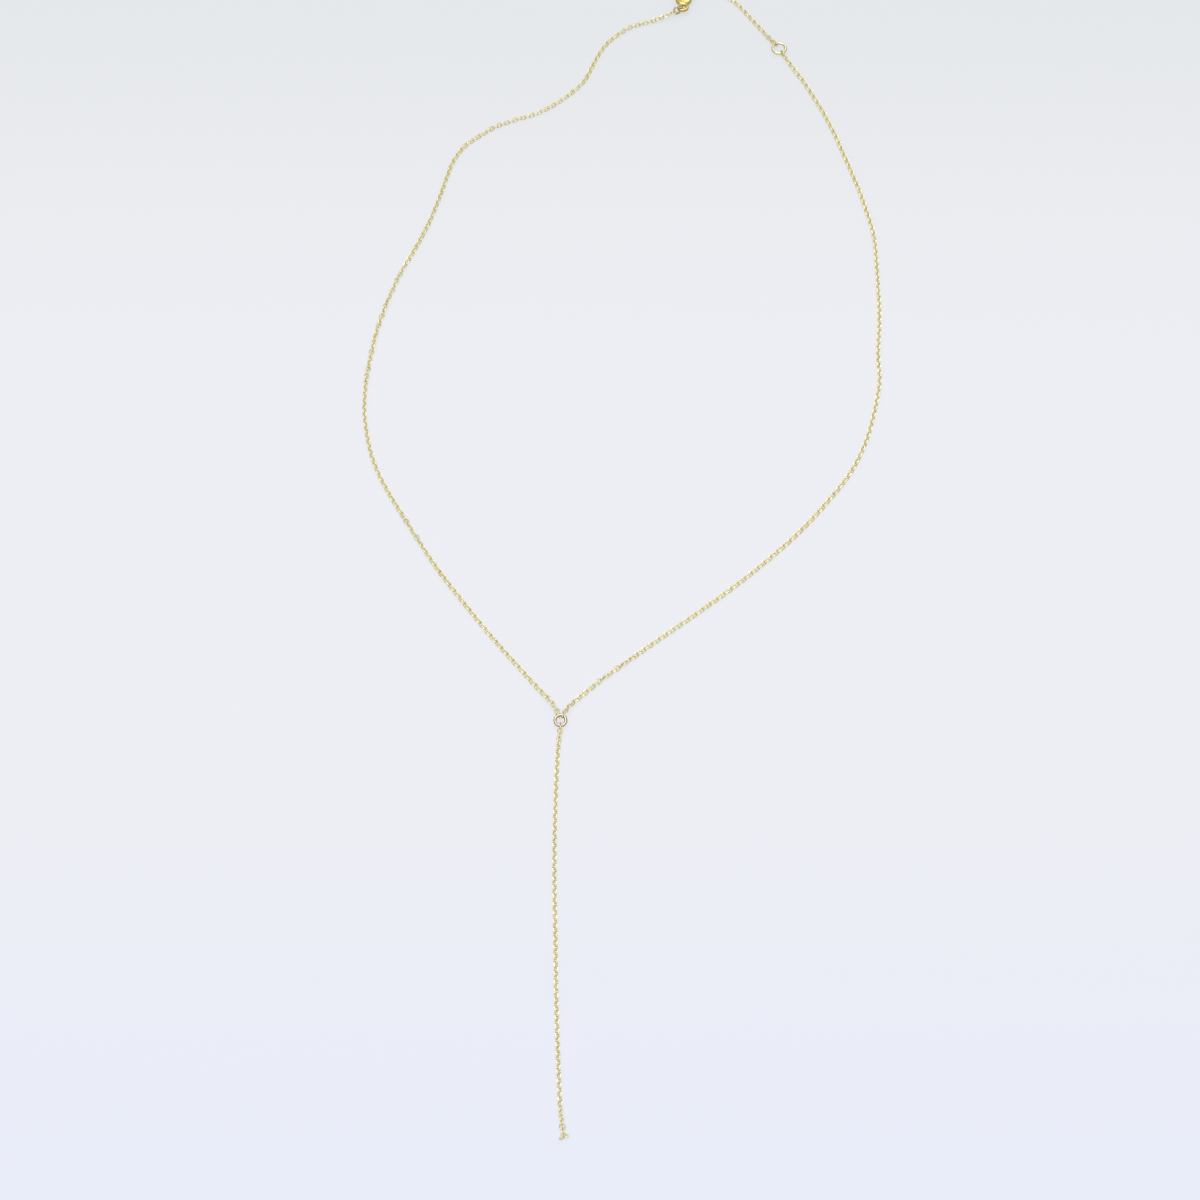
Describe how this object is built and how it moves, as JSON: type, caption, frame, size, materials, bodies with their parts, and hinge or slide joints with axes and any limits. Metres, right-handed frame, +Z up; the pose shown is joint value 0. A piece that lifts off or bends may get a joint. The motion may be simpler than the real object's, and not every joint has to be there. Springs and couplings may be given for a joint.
{
  "type": "y necklace",
  "caption": "Fine gold cable-chain Y necklace lying closed, with a chain drop at a small thick ring, a flat extender ring, a short extender and a claw clasp.",
  "frame": {"origin": "under the middle of the necklace's box, on the surface it lies on", "axes": "+X to the right, +Y from the drop's end towards the clasp, +Z up"},
  "size_m": [0.0953, 0.2711, 0.0027],
  "materials": {
    "chain_gold": "diamond-cut, polished facets",
    "polished_pale_gold": "high polish",
    "ring_gold": "polished",
    "clasp_gold": "polished, softened by handling"
  },
  "bodies": {
    "root": {"neck_chain_left": "chain_gold", "neck_chain_left_ends": "chain_gold", "neck_chain_right": "chain_gold", "neck_chain_right_ends": "chain_gold", "y_ring": "polished_pale_gold", "drop_chain": "chain_gold", "extender_ring": "ring_gold", "extender_chain": "chain_gold", "end_ring": "ring_gold", "clasp": "clasp_gold", "clasp_ring": "ring_gold"}
  },
  "joints": []
}
